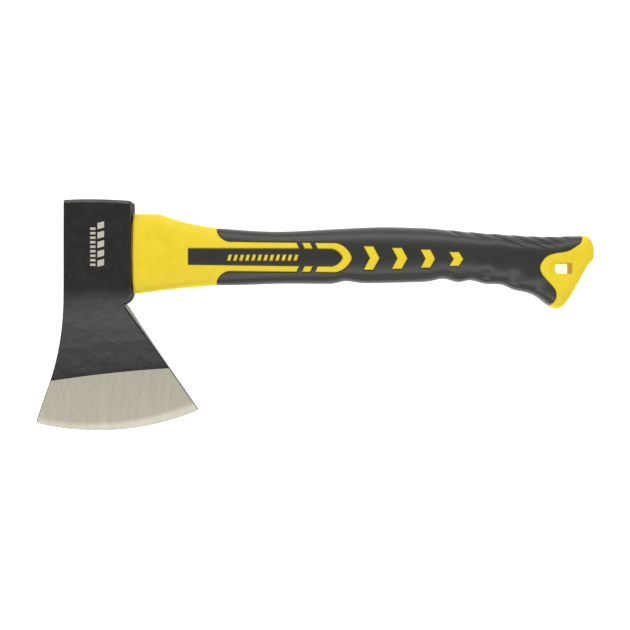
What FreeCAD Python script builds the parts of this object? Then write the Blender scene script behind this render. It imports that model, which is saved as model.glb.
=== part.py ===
"""Hand axe with a forged head and a two-colour moulded handle on a fibreglass core.

The axe lies on its side: +X runs along the handle away from the head, +Y points to the poll,
the cutting edge is towards -Y, and +Z is up. The origin is the point of the resting cheek
that is straight under the centre of the eye. All lengths are in millimetres.
"""
import FreeCAD, Part
import math
import os

Vector = FreeCAD.Vector

# Head
HEAD_HALF = 12.5             # half thickness at the eye; the mid-plane is this high
HEAD_LEFT = -22.5            # face where the top of the handle shows
HEAD_RIGHT = 23.0            # face that the neck of the handle meets
POLL_Y = 36.7                # striking face of the poll
POLL_FALL = 1.0              # how much the poll drops towards the handle
POLL_ROUNDING = 2.0
CHEEK_END_Y = -24.0          # where the flat cheek starts to taper
LUG_END = (23.0, -27.0)      # the lug under the eye rounds off from here
LUG_MIDDLE = (21.4, -31.3)
NOTCH = (17.7, -34.2)        # inner corner between the lug and the blade
BEARD_START_Y = -22.0        # the front edge of the head curves forward from here
BEARD_RADIUS = 200.0
BEARD_ANGLE = 20.8           # degrees that the front edge has turned by the toe
EDGE_CENTRE = (-0.8, 57.5)   # centre of the cutting edge's arc
EDGE_RADIUS = 178.4
HEEL_X = 68.2
TOE_X = -43.9
TOE_ROUNDING = 2.4
HEEL_ROUNDING = 0.7

# Blade faces, as half thicknesses
EDGE_HALF = 0.12             # the edge itself
EDGE_OVERRUN = 0.3           # the bevels are drawn this far past the edge, then trimmed to it
GRIND_HALF = 2.5             # where the ground face meets the forged one
GRIND_Y = -82.4              # height of that line at x = 0
GRIND_SLOPE = 0.107          # and its slope
BEVEL_TOE = (3.2, 0.8)       # honed bevel at the toe: width, half thickness at its border
BEVEL_HEEL = (6.4, 1.4)      # and at the heel
# From the flat cheek to the grind: share of the way down, share of the thickness left
CHEEK_TAPER = ((0.1, 0.93), (0.25, 0.75), (0.45, 0.49), (0.65, 0.27), (0.85, 0.1))
CHEEK_DRAFT = 1.0            # extra half thickness at the poll before the cheeks are cut flat
WEDGE_STATIONS = 7           # sections that the wedge of the blade is lofted through
WEDGE_MARGIN = 4.0           # and how far they reach past the toe and the heel

# Eye
EYE_CENTRE_Y = 0.3
TANG_HALF = (21.2, 7.3)      # half height and half thickness of the tang in the eye
EYE_CLEARANCE = 0.45         # resin gap at the handle side
EYE_FLARE = 1.6              # resin gap at the far side
EYE_POWER = 2.8              # squareness of the oval
RESIN_RECESS = 0.5           # the resin stops this far below the far face
TANG_RECESS = 1.0            # and the tang this far

# Core bar
CORE_HALF = (9.0, 4.5)
CORE_CENTRE_Y = -1.0
CORE_ROUNDING = 2.5
CORE_END_X = 295.0

# Handle: outline seen from the side, as (x, y) points on the top and bottom edges
TOP_EDGE = ((23, 27.2), (40.5, 27.1), (49, 24.5), (61, 21.0), (81, 17.7), (122, 15.3),
            (164, 17.2), (195, 18.4), (225, 17.6), (266, 14.2), (307, 12.0), (332, 12.3),
            (334.4, 11.0), (336.5, 8.1), (338.1, 4.6))
BOTTOM_EDGE = ((23, -27.0), (36, -25.7), (53, -23.7), (68, -22.4), (81, -21.6), (95, -21.4),
               (130, -20.4), (159.5, -20.6), (168, -18.6), (182, -20.1), (205, -19.7),
               (225, -19.0), (235.5, -16.9), (246, -19.4), (254, -18.0), (265, -20.6),
               (274.5, -20.8), (284.5, -24.8), (291, -26.0), (299, -28.9), (307, -35.3),
               (311.5, -37.4), (314.3, -37.5), (317.7, -35.2), (324.3, -25.2), (329.1, -16.1),
               (331.3, -12.0), (333.8, -8.0), (336.1, -5.4), (338.1, -2.8))
HALF_THICKNESS = ((23, 9.2), (60, 9.2), (90, 9.7), (130, 10.4), (165, 11.2), (205, 11.9),
                  (245, 12.2), (280, 12.5), (300, 12.4), (320, 12.0), (332, 11.2),
                  (338.1, 9.6))
SQUARENESS = ((23, 3.4), (70, 3.0), (130, 2.6), (200, 2.4), (280, 2.5), (310, 3.0),
              (338.1, 3.4))
END_X = 338.1
SECTION_STEP = 5.0           # distance between the handle's sections
POMMEL_START_X = 308.0
POMMEL_STEP = 2.5            # and between those of the pommel
SECTION_POINTS = 28          # points around each section
GRIP_WALL = 2.0              # thickness of the soft overmould
SUBSTRATE_MARGIN = 16.0      # the inner shape runs on this far inside the yellow neck

# End of the handle, around the hanging hole
HOLE_LOW = (310.2, -13.8)
HOLE_HIGH = (322.2, -6.6)
HOLE_CORNER = 0.8
HOLE_NOSE = 3.2              # radius of the two corners nearer the head
RECESS_MARGIN = 2.4
RECESS_DEPTH = 0.8

# Marks where the yellow jacket comes through the overmould
AXIS_START = (120.0, -2.45)  # middle line of the stripes, dashes, loop and arrows
AXIS_FALL = 0.0122           # it falls slightly towards the pommel
STRIPE_INNER = 6.1           # inner and outer edges of the long stripes, from that line
STRIPE_OUTER = 9.95
STRIPE_SLANT = 1.7
STRIPE_END_X = 137.0
STRIP_START_X = 61.6         # the dark strip between the stripes starts here
STRIP_START_HALF = {1: 5.3, -1: 6.0}     # its two edges, from the middle line
SHOULDER_X = 80.9            # the overmould starts here on the top and bottom edges
SHOULDER_MIDDLE = (83.4, 13.2)
SHOULDER_END_X = 89.4
SHOULDER_RISE = 17.5
DASH_X = (140.7, 146.2)
LOOP_START_X = 149.6
LOOP_OUTER = ((161.8, STRIPE_OUTER), (168.4, 6.8), (172.8, 0.0))   # x, distance from the middle
LOOP_INNER = ((159.2, STRIPE_INNER), (163.3, 4.3), (166.6, 0.0))
CHEVRONS = ((180.8, 187.3, 4.2, 8.0), (199.9, 206.6, 3.8, 7.15),   # left, right, reach, half
            (219.4, 225.9, 3.2, 6.15), (238.7, 245.2, 3.0, 4.75))
BAR_COUNT = 12               # small slanted bars in a row inside the dark strip
BAR_START_X = 88.0
BAR_PITCH = 4.1
BAR_WIDTH = 2.3
BAR_SLANT = 1.2
BAR_Y = (-4.9, -0.9)
POMMEL_MARK = ((331.5, 16.0), (329.8, 12.0), (328.0, 7.4), (324.4, 4.4), (319.0, 1.4),
               (310.1, -0.2), (304.6, -2.4), (301.0, -6.9), (300.4, -11.0), (302.4, -15.4),
               (306.8, -20.2), (310.4, -24.6), (311.4, -28.9), (310.3, -32.5), (306.6, -36.2),
               (303, -41))

# Tools that cut right through
THROUGH = 60.0               # their length
FAR_Y = 60.0                 # and the places of their plain sides, clear of the handle
FAR_X = 360.0
TUBE_STATIONS = 4            # sections of a straight or evenly tapered tube


def along(points, x):
    """Height at x of a smooth curve through the points, without overshoot."""
    if x <= points[0][0]:
        return points[0][1]
    if x >= points[-1][0]:
        return points[-1][1]
    slopes = [(b[1] - a[1]) / (b[0] - a[0]) for a, b in zip(points, points[1:])]
    tangents = [0.0]
    for before, after in zip(slopes, slopes[1:]):
        flat = before * after <= 0.0
        tangents.append(0.0 if flat else 2.0 * before * after / (before + after))
    tangents.append(0.0)
    i = max(k for k in range(len(slopes)) if points[k][0] <= x)
    width = points[i + 1][0] - points[i][0]
    t = (x - points[i][0]) / width
    start, end = points[i][1], points[i + 1][1]
    return (start * (2 * t**3 - 3 * t**2 + 1) + end * (3 * t**2 - 2 * t**3)
            + tangents[i] * width * (t**3 - 2 * t**2 + t)
            + tangents[i + 1] * width * (t**3 - t**2))


def oval(x, centre_y, half_y, half_z, power):
    """Points around a superellipse at x, centred on the mid-plane; the last repeats the first."""
    points = []
    for k in range(SECTION_POINTS):
        angle = 2 * math.pi * k / SECTION_POINTS
        c, s = math.cos(angle), math.sin(angle)
        y = centre_y + half_y * math.copysign(abs(c) ** (2 / power), c)
        z = HEAD_HALF + half_z * math.copysign(abs(s) ** (2 / power), s)
        points.append(Vector(x, y, z))
    return points + points[:1]


def skinned(sections):
    """Solid with a smooth side through the sections and a flat face at each end."""
    surface = Part.BSplineSurface()
    surface.interpolate(sections)
    side = surface.toShape()
    rims = [edge for edge in side.Edges if edge.isClosed()]
    shell = Part.Shell([side] + [Part.Face(Part.Wire([rim])) for rim in rims])
    shell.sewShape()
    return Part.Solid(shell)


def handle_section(x, inset):
    """Section of the handle at x, drawn in by inset all round."""
    top = along(TOP_EDGE, x) - inset
    bottom = along(BOTTOM_EDGE, x) + inset
    half = along(HALF_THICKNESS, x) - inset
    return oval(x, (top + bottom) / 2, (top - bottom) / 2, half, along(SQUARENESS, x))


def spread(start, end, step):
    """Evenly spaced stations, about a step apart."""
    count = round((end - start) / step)
    return [start + (end - start) * k / count for k in range(count + 1)]


def handle_body():
    """Outer shape of the whole handle outside the head."""
    stations = spread(HEAD_RIGHT, POMMEL_START_X, SECTION_STEP)
    stations += spread(POMMEL_START_X, END_X, POMMEL_STEP)[1:]
    return skinned([handle_section(x, 0.0) for x in stations])


def handle_substrate():
    """Inner shape, under the soft overmould."""
    stations = spread(SHOULDER_X - SUBSTRATE_MARGIN, POMMEL_START_X + SUBSTRATE_MARGIN / 2,
                      SECTION_STEP)
    return skinned([handle_section(x, GRIP_WALL) for x in stations])


def flat(x, y):
    """A point of a side view, below every solid."""
    return Vector(x, y, HEAD_HALF - THROUGH / 2)


def closed_path(points):
    corners = [flat(x, y) for x, y in points]
    return Part.makePolygon(corners + corners[:1])


def tool(wire):
    """Prism through the whole thickness."""
    return Part.Face(wire).extrude(Vector(0, 0, THROUGH))


def smooth_edge(points):
    curve = Part.BSplineCurve()
    curve.interpolate([flat(x, y) for x, y in points])
    return curve.toShape()


# ---------------------------------------------------------------- head
def edge_y(x):
    """The cutting edge."""
    return EDGE_CENTRE[1] - math.sqrt(EDGE_RADIUS**2 - (x - EDGE_CENTRE[0])**2)


def head_outline():
    """Side view of the head."""
    turn = math.radians(BEARD_ANGLE)
    beard_centre_x = HEAD_LEFT - BEARD_RADIUS
    beard_end = (beard_centre_x + BEARD_RADIUS * math.cos(turn),
                 BEARD_START_Y - BEARD_RADIUS * math.sin(turn))
    beard_mid = (beard_centre_x + BEARD_RADIUS * math.cos(turn / 2),
                 BEARD_START_Y - BEARD_RADIUS * math.sin(turn / 2))
    toe = flat(TOE_X, edge_y(TOE_X))
    heel = flat(HEEL_X, edge_y(HEEL_X))
    middle_x = (TOE_X + HEEL_X) / 2
    edges = [
        Part.LineSegment(flat(HEAD_LEFT, BEARD_START_Y), flat(HEAD_LEFT, POLL_Y)),
        Part.LineSegment(flat(HEAD_LEFT, POLL_Y), flat(HEAD_RIGHT, POLL_Y - POLL_FALL)),
        Part.LineSegment(flat(HEAD_RIGHT, POLL_Y - POLL_FALL), flat(*LUG_END)),
        Part.Arc(flat(*LUG_END), flat(*LUG_MIDDLE), flat(*NOTCH)),
        Part.LineSegment(flat(*NOTCH), heel),
        Part.Arc(heel, flat(middle_x, edge_y(middle_x)), toe),
        Part.LineSegment(toe, flat(*beard_end)),
        Part.Arc(flat(*beard_end), flat(*beard_mid), flat(HEAD_LEFT, BEARD_START_Y)),
    ]
    return Part.Wire([edge.toShape() for edge in edges])


def blade_section(x):
    """Section of the head's thickness at x: flat cheeks, hollow taper, grind and bevel."""
    share = (x - TOE_X) / (HEEL_X - TOE_X)
    bevel_width = BEVEL_TOE[0] + share * (BEVEL_HEEL[0] - BEVEL_TOE[0])
    bevel_half = BEVEL_TOE[1] + share * (BEVEL_HEEL[1] - BEVEL_TOE[1])
    grind_y = GRIND_Y + GRIND_SLOPE * x
    run = CHEEK_END_Y - grind_y
    drop = HEAD_HALF - GRIND_HALF
    hollow = [(CHEEK_END_Y - run * way, GRIND_HALF + drop * left) for way, left in CHEEK_TAPER]
    side = [(CHEEK_END_Y, HEAD_HALF)] + hollow + [(grind_y, GRIND_HALF)]
    poll = (POLL_Y + 2, HEAD_HALF + CHEEK_DRAFT)
    tip_half = EDGE_HALF - EDGE_OVERRUN * (bevel_half - EDGE_HALF) / bevel_width
    tip_y = edge_y(x) - EDGE_OVERRUN
    sharp = [(edge_y(x) + bevel_width, bevel_half), (tip_y, tip_half)]
    edges = []
    for sign in (1, -1):
        curve = Part.BSplineCurve()
        curve.interpolate([Vector(x, y, HEAD_HALF + sign * half) for y, half in side])
        lines = [poll, side[0]], [side[-1], sharp[0]], sharp
        flats = [Part.LineSegment(Vector(x, a[0], HEAD_HALF + sign * a[1]),
                                  Vector(x, b[0], HEAD_HALF + sign * b[1])).toShape()
                 for a, b in lines]
        edges += [flats[0], curve.toShape(), flats[1], flats[2]]
    for y, half in (poll, (tip_y, tip_half)):
        edges.append(Part.LineSegment(Vector(x, y, HEAD_HALF - half),
                                      Vector(x, y, HEAD_HALF + half)).toShape())
    return Part.Wire(Part.__sortEdges__(edges))


def eye_cavity():
    """Oval hole through the head, wider at the far side."""
    sections = []
    for k in range(TUBE_STATIONS):
        way = k / (TUBE_STATIONS - 1)
        x = HEAD_RIGHT + (HEAD_LEFT - HEAD_RIGHT) * way
        gap = EYE_CLEARANCE + (EYE_FLARE - EYE_CLEARANCE) * way
        sections.append(oval(x, EYE_CENTRE_Y, TANG_HALF[0] + gap, TANG_HALF[1] + gap, EYE_POWER))
    return skinned(sections)


def rounded_vertical_edge(shape, x, y, radius):
    """Round the edge of a prism that stands at (x, y)."""
    found = [edge for edge in shape.Edges
             if all(abs(v.X - x) < 0.01 and abs(v.Y - y) < 0.01 for v in edge.Vertexes)]
    return shape.makeFillet(radius, found)


def axe_head():
    first, last = TOE_X - WEDGE_MARGIN, HEEL_X + WEDGE_MARGIN
    stations = [first + (last - first) * k / (WEDGE_STATIONS - 1) for k in range(WEDGE_STATIONS)]
    wedge = Part.makeLoft([blade_section(x) for x in stations], True)
    plan = Part.Face(head_outline()).extrude(Vector(0, 0, 2 * HEAD_HALF))
    plan.translate(Vector(0, 0, THROUGH / 2 - HEAD_HALF))
    plan = rounded_vertical_edge(plan, TOE_X, edge_y(TOE_X), TOE_ROUNDING)
    plan = rounded_vertical_edge(plan, HEEL_X, edge_y(HEEL_X), HEEL_ROUNDING)
    head = wedge.common(plan)
    poll = [edge for edge in head.Edges
            if all(v.Y > POLL_Y - POLL_FALL - 0.1 for v in edge.Vertexes)]
    head = head.makeFillet(POLL_ROUNDING, poll)
    return head.cut(eye_cavity())


def eye_resin(tang_solid):
    """Cured resin that fills the eye around the tang."""
    ring = eye_cavity().cut(tang_solid)
    trim = Part.makeBox(RESIN_RECESS, THROUGH, THROUGH,
                        Vector(HEAD_LEFT, -THROUGH / 2, HEAD_HALF - THROUGH / 2))
    return ring.cut(trim)


# ---------------------------------------------------------------- handle
def tang():
    """Straight part of the handle inside the eye."""
    start = HEAD_LEFT + TANG_RECESS
    length = HEAD_RIGHT + 1 - start
    stations = [start + length * k / (TUBE_STATIONS - 1) for k in range(TUBE_STATIONS)]
    return skinned([oval(x, EYE_CENTRE_Y, *TANG_HALF, EYE_POWER) for x in stations])


def axis_y(x):
    """Height of the marks' middle line."""
    start_x, start_y = AXIS_START
    return start_y - AXIS_FALL * (x - start_x)


def side_points(sign, points):
    """Points of one side of the marks: x, and the distance from the middle line."""
    return [flat(x, axis_y(x) + sign * away) for x, away in points]


def outline(pieces):
    """Closed wire from edges and lists of edges in any order."""
    return Part.Wire(Part.__sortEdges__([edge for piece in pieces for edge in piece.Edges]))


def stripes_and_neck():
    """Yellow from the head to the ends of the two long stripes."""
    ends = []
    pieces = []
    for sign in (1, -1):
        shoulder, middle, run = side_points(sign, [(SHOULDER_X, SHOULDER_RISE), SHOULDER_MIDDLE,
                                                   (SHOULDER_END_X, STRIPE_OUTER)])
        back, corner = side_points(sign, [(HEAD_RIGHT - 1, FAR_Y), (SHOULDER_X, FAR_Y)])
        tips = side_points(sign, [(STRIPE_END_X - STRIPE_SLANT, STRIPE_OUTER),
                                  (STRIPE_END_X, STRIPE_INNER),
                                  (STRIP_START_X, STRIP_START_HALF[sign])])
        pieces += [Part.makePolygon([back, corner, shoulder]),
                   Part.Arc(shoulder, middle, run).toShape(), Part.makePolygon([run] + tips)]
        ends.append((back, tips[-1]))
    pieces += [Part.makeLine(above, below) for above, below in zip(*ends)]
    return tool(outline(pieces))


def dash(sign):
    """Short slanted mark that follows a stripe."""
    start, end = DASH_X
    corners = side_points(sign, [(start - STRIPE_SLANT, STRIPE_OUTER), (start, STRIPE_INNER),
                                 (end, STRIPE_INNER), (end - STRIPE_SLANT, STRIPE_OUTER)])
    return tool(Part.makePolygon(corners + corners[:1]))


def loop():
    """Rounded arrowhead that closes the row of stripes."""
    pieces = []
    for sign in (1, -1):
        arcs = []
        for points in (LOOP_OUTER, LOOP_INNER):
            bend, middle, tip = side_points(sign, points)
            arcs.append(bend)
            pieces.append(Part.Arc(bend, middle, tip).toShape())
        ends = side_points(sign, [(LOOP_START_X - STRIPE_SLANT, STRIPE_OUTER),
                                  (LOOP_START_X, STRIPE_INNER)])
        pieces.append(Part.makePolygon([arcs[0]] + ends + [arcs[1]]))
    return tool(outline(pieces))


def chevron(left, right, reach, half):
    """Arrow mark; reach is how far its tip leads its ends."""
    axis = axis_y(right)
    return tool(closed_path([(left, axis + half), (right, axis + half), (right + reach, axis),
                             (right, axis - half), (left, axis - half), (left + reach, axis)]))


def slanted_bar(left):
    """One of the small raised bars of the dark strip."""
    low, high = BAR_Y
    return tool(closed_path([(left, low), (left + BAR_WIDTH, low),
                             (left + BAR_WIDTH + BAR_SLANT, high), (left + BAR_SLANT, high)]))


def pommel_zone():
    """Everything behind the curved border of the pommel."""
    border = smooth_edge(POMMEL_MARK)
    start, end = flat(*POMMEL_MARK[0]), flat(*POMMEL_MARK[-1])
    corners = [end, flat(POMMEL_MARK[-1][0], -FAR_Y), flat(FAR_X, -FAR_Y), flat(FAR_X, FAR_Y),
               flat(POMMEL_MARK[0][0], FAR_Y), start]
    return tool(Part.Wire(Part.__sortEdges__([border] + Part.makePolygon(corners).Edges)))


def hole_prism(margin, bottom, top):
    """Prism of the hole's outline, drawn out by a margin."""
    low_x, low_y = HOLE_LOW[0] - margin, HOLE_LOW[1] - margin
    box = Part.makeBox(HOLE_HIGH[0] - low_x + margin, HOLE_HIGH[1] - low_y + margin,
                       top - bottom, Vector(low_x, low_y, bottom))
    upright = [edge for edge in box.Edges if edge.BoundBox.ZLength > 1]
    nose = [edge for edge in upright if edge.BoundBox.XMax < low_x + 0.1]
    box = box.makeFillet(HOLE_NOSE + margin, nose)
    rear = [edge for edge in box.Edges
            if edge.BoundBox.ZLength > 1 and edge.BoundBox.XMin > HOLE_HIGH[0] + margin - 0.1]
    return box.makeFillet(HOLE_CORNER + margin, rear)


def hole_and_recesses():
    """The hanging hole with a shallow recess on each side."""
    half = along(HALF_THICKNESS, (HOLE_LOW[0] + HOLE_HIGH[0]) / 2)
    tools = [hole_prism(0.0, HEAD_HALF - THROUGH / 2, HEAD_HALF + THROUGH / 2)]
    for sign in (1, -1):
        floor = HEAD_HALF + sign * (half - RECESS_DEPTH)
        far = HEAD_HALF + sign * THROUGH / 2
        tools.append(hole_prism(RECESS_MARGIN, min(floor, far), max(floor, far)))
    return tools[0].fuse(tools[1:])


def fibreglass_core():
    """Pultruded bar from the far face of the eye to just short of the hanging hole."""
    start = HEAD_LEFT + TANG_RECESS
    half_y, half_z = CORE_HALF
    bar = Part.makeBox(CORE_END_X - start, 2 * half_y, 2 * half_z,
                       Vector(start, CORE_CENTRE_Y - half_y, HEAD_HALF - half_z))
    along_x = [edge for edge in bar.Edges
               if abs(edge.Vertexes[0].X - edge.Vertexes[-1].X) > 1]
    return bar.makeFillet(CORE_ROUNDING, along_x)


def yellow_columns():
    """Prisms for every place where the yellow jacket reaches the surface."""
    marks = [stripes_and_neck(), loop(), pommel_zone(), dash(1), dash(-1)]
    marks += [chevron(*sizes) for sizes in CHEVRONS]
    return marks + [slanted_bar(BAR_START_X + BAR_PITCH * k) for k in range(BAR_COUNT)]


def handle_jacket(body, core):
    """Moulded body: neck, pommel and raised marks in one piece around the core."""
    inner = handle_substrate()
    proud = [body.common(column) for column in yellow_columns()]
    jacket = tang().fuse([inner] + proud)
    return jacket.cut(core).cut(hole_and_recesses())


def main():
    os.makedirs("parts", exist_ok=True)
    body = handle_body()
    core = fibreglass_core()
    jacket = handle_jacket(body, core)
    grip = body.cut([jacket, core]).cut(hole_and_recesses())
    nodes = {"axe_head": axe_head(), "eye_resin": eye_resin(tang()), "fibreglass_core": core,
             "handle_jacket": jacket, "grip_overmould": grip}
    for name, shape in nodes.items():
        print(name, shape.isValid(), len(shape.Solids), round(shape.Volume / 1000, 2))
        shape.exportStep(f"parts/{name}.step")


if __name__ == "__main__":
    main()
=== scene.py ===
"""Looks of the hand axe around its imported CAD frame: head, moulded jacket and soft grip."""
import math

import bpy
import numpy as np
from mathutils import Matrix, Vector
from mathutils.bvhtree import BVHTree
from mathutils.geometry import delaunay_2d_cdt
from mathutils.kdtree import KDTree


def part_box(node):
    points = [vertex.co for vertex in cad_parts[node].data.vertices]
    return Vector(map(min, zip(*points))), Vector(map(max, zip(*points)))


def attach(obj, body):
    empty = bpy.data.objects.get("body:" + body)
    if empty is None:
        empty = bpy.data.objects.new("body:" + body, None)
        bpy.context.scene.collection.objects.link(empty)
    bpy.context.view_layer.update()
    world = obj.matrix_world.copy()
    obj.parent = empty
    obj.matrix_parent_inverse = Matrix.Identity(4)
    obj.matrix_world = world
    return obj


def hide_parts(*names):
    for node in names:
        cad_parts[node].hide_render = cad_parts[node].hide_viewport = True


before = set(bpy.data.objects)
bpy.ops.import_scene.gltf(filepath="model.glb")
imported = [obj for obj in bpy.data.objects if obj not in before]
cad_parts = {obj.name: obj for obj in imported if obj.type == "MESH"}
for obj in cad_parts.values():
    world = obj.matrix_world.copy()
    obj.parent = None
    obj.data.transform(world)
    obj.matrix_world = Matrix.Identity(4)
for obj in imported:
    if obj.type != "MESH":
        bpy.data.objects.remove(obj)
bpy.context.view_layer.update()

# Lengths are in millimetres up to the last step, which makes the meshes in metres.
MM = 0.001
TOUCH = 0.001  # points closer than this count as touching
HEAD_LOW, HEAD_HIGH = (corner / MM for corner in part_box("axe_head"))
MID = (HEAD_LOW.z + HEAD_HIGH.z) / 2  # height of the plane that halves the axe

# Head, with the same numbers as in the CAD
HEAD_LEFT = -22.5
HEAD_RIGHT = 23.0  # the head's face towards the handle
POLL_Y = HEAD_HIGH.y
POLL_FALL = 1.0  # the poll drops this much towards the handle
POLL_ARCH = 0.35  # and this much towards the far face
POLL_ROUND = 1.2
POLL_CHAMFER = (2.3, 0.42)  # its width and slope
POLL_CORNER = 0.9
CHEEK_END_Y = -24.0  # the flat cheek starts to taper here
CHEEK_TAPER = ((0.0, 1.0), (0.1, 0.93), (0.25, 0.75), (0.45, 0.49), (0.65, 0.27), (0.85, 0.1),
               (1.0, 0.0))
LUG = ((23.0, -27.0), (21.4, -31.3), (17.7, -34.2))
BEARD_START_Y = -22.0
BEARD_RADIUS = 200.0
BEARD_ANGLE = math.radians(20.8)
EDGE_CENTRE = (-0.8, 57.5)
EDGE_RADIUS = 178.4
EDGE_HALF = 0.12
HEEL_X = 68.0
TOE_X = -43.1
GRIND_HALF = 2.5
GRIND_Y = -82.4  # the paint ends at this height at x = 0
GRIND_SLOPE = 0.107
GRIND_ARCH = 0.0006
GRIND_TOP_X = 8.0
BEVEL_TOE = (3.2, 0.8)  # honed bevel: width, half thickness at its border
BEVEL_HEEL = (6.4, 1.4)
HONE_BLEND = 0.2  # softness of that border
PAINTED_RIM = 0.45  # the lacquer wraps round the blade's two sides
CHAMFER = ((GRIND_Y, 0.3), (-46.0, 1.0), (-38.0, 0.9), (-34.6, 0.0))  # blade's back edge, by height
SIDE_ROUND = 0.6
SIDE_HOLLOW = 0.35  # the right face is this much hollow behind the neck
HOLLOW_MIDDLE_Y = 3.0
HOLLOW_REACH = 26.0
HEAD_STEP = 1.3
HONE_ROWS = (0.3, 0.7, 1.2)  # extra points this far from the border of the bevel
RIM_ROWS = (0.05, 0.15, 0.3, 0.5, 0.75, 1.0, 1.4, 1.9, 2.4)  # and from the head's outline
SHARP_ANGLE = math.radians(40)
WALL_ROWS = 7  # rows of faces between the two cheeks
LACQUER, GROUND, HONED, PRINTED, SCALE = range(5)  # the head's materials

# Print on the cheek
PRINT_BAR_COUNT = 9
PRINT_BAR_X = (-4.3, -0.7)
PRINT_BAR_Y = -8.6
PRINT_BAR_PITCH = 3.05
PRINT_BAR_HEIGHT = 1.6
PRINT_BLOCK_COUNT = 5
PRINT_BLOCK_X = (0.6, 5.1)
PRINT_BLOCK_Y = -9.2
PRINT_BLOCK_PITCH = 6.35
PRINT_BLOCK_HEIGHT = 4.2
PRINT_BLOCK_SLANT = 1.2

# Eye, tang and core
EYE_CENTRE_Y = 0.3
TANG_HALF = (21.2, 7.3)
EYE_GAP = (0.45, 1.6)  # around the tang, at the handle and at the far face
EYE_POWER = 2.8
CORE_HALF = (9.1, 4.6)
CORE_CENTRE_Y = -1.0
CORE_POWER = 5.0

# Handle
NECK_X = HEAD_RIGHT + 0.3  # a narrow gap is left between the head and the neck
END_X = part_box("handle_jacket")[1].x / MM
SQUARENESS = ((23, 3.4), (70, 3.0), (130, 2.6), (200, 2.4), (255, 2.5), (285, 3.3), (310, 3.6),
              (338.1, 3.4))
END_ROUND = 3.2  # rounding of the pommel's end
GRIP_WALL = 2.0
GRID_STEP = 0.9
GRID_ROWS = 46
BORDER_STEP = 0.6
BORDER_ROWS = (0.22, 0.5, 0.9)  # extra points this far from each colour border
GROOVE_DEPTH = 0.42  # parting groove along the colour borders
GROOVE_REACH = 0.55
PROUD = 0.22  # the yellow marks stand this far above the grip

# Marks in the side view; the numbers agree with the windows of the CAD overmould.
AXIS_START = (120.0, -2.45)  # middle line of the stripes, dashes, loop and arrows
AXIS_FALL = 0.0122  # it falls slightly towards the pommel
OUTSIDE = 50  # borders are closed this far from the handle's axis
STRIPE_INNER = 6.1
STRIPE_OUTER = 9.95
STRIPE_SLANT = 1.7
STRIPE_END_X = 137.0
STRIP_START_X = 61.6
STRIP_START_HALF = {1: 5.3, -1: 6.0}
SHOULDER = ((80.9, 17.5), (83.4, 13.2), (89.4, STRIPE_OUTER))
DASH_X = (140.7, 146.2)
LOOP_START_X = 149.6
LOOP_OUTER = ((161.8, STRIPE_OUTER), (168.4, 6.8), (172.8, 0.0))
LOOP_INNER = ((159.2, STRIPE_INNER), (163.3, 4.3), (166.6, 0.0))
CHEVRONS = ((180.8, 187.3, 4.2, 8.0), (199.9, 206.6, 3.8, 7.15),
            (219.4, 225.9, 3.2, 6.15), (238.7, 245.2, 3.0, 4.75))
BAR_COUNT = 12
BAR_START_X = 88.0
BAR_PITCH = 4.1
BAR_WIDTH = 2.3
BAR_SLANT = 1.2
BAR_Y = (-4.9, -0.9)
POMMEL_MARK = ((331.5, 16.0), (329.8, 12.0), (328.0, 7.4), (324.4, 4.4), (319.0, 1.4),
               (310.1, -0.2), (304.6, -2.4), (301.0, -6.9), (300.4, -11.0), (302.4, -15.4),
               (306.8, -20.2), (310.4, -24.6), (311.4, -28.9), (310.3, -32.5), (306.6, -36.2),
               (303, -41))
PAST_POMMEL = ((303, -60), (360, -60), (360, 40), (331.5, 40))  # closes that border

# Hanging hole
HOLE_LOW = (310.2, -13.8)
HOLE_HIGH = (322.2, -6.6)
HOLE_NOSE = 3.2
HOLE_CORNER = 0.8
HOLE_CORNER_STEPS = 8
HOLE_MOUTH = 0.9  # rounding of its mouth
HOLE_RECESS = 0.8  # the mouth lies this deep in the pommel's side
HOLE_RECESS_REACH = (2.0, 3.4)
HOLE_ROWS = (0.15, 0.4, 0.8)  # extra points this far from the hole
HOLE_WALL_ROWS = 8

# Ribs that cross the back of the grip: where each meets the top edge, and its length
RIBS = ((238.4, 13.0), (251.8, 24.0), (265.6, 31.0), (280.7, 30.0), (293.3, 25.0), (303.5, 18.0),
        (315.0, 9.0))
RIB_DIRECTION = np.array([math.cos(math.radians(-23)), math.sin(math.radians(-23))])
RIB_DEPTH = 1.1
RIB_FALL = 2.0  # lengths of the slow fall and of the sharp step
RIB_STEP = 0.6
RIB_ROWS = (-0.5, -0.2, 0.0, 0.35, 0.8)  # extra points this far from each step
# Finger dents on the belly: centre, radius and depth
DENTS = (((247.5, -12.8), 4.2, 0.7), ((264.3, -14.6), 4.7, 1.5), ((282.8, -17.2), 5.3, 1.6),
         ((300.5, -23.0), 5.2, 1.0))
CREASE_HEIGHT = 3.1  # crease above the bottom edge
CREASE_DEPTH = 0.25
CREASE_WIDTH = 0.9
CREASE_START = (164, 174)  # where it fades in
CREASE_END = (304, 292)  # and out

# Studio, in metres and watts
CAMERA_X = 0.1478
CAMERA_Y = -0.0418
CAMERA_DISTANCE = 1.0
FIELD_WIDTH = 0.4316  # width of the view at the axe's mid-plane
WORLD_LIGHT = 0.25
LIGHTS = (("top_light", (0.0, 1.02, 0.80), (1.9, 0.35), 12.0),
          ("bottom_light", (0.0, -0.74, 1.06), (1.9, 0.35), 11.0))


# ------------------------------ numbers and outlines
def sample(points, x):
    """Values at x along the given (x, value) points."""
    xs, values = zip(*points)
    return np.interp(x, xs, values)


def smoothstep(low, high, value):
    """0 up to low, 1 from high on, smooth between them; falling where low is above high."""
    t = np.clip((value - low) / (high - low), 0.0, 1.0)
    return t * t * (3 - 2 * t)


def bell(value, width):
    """1 at zero, falling to 0 on both sides over about twice the width."""
    return np.exp(-(value / width) ** 2)


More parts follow.
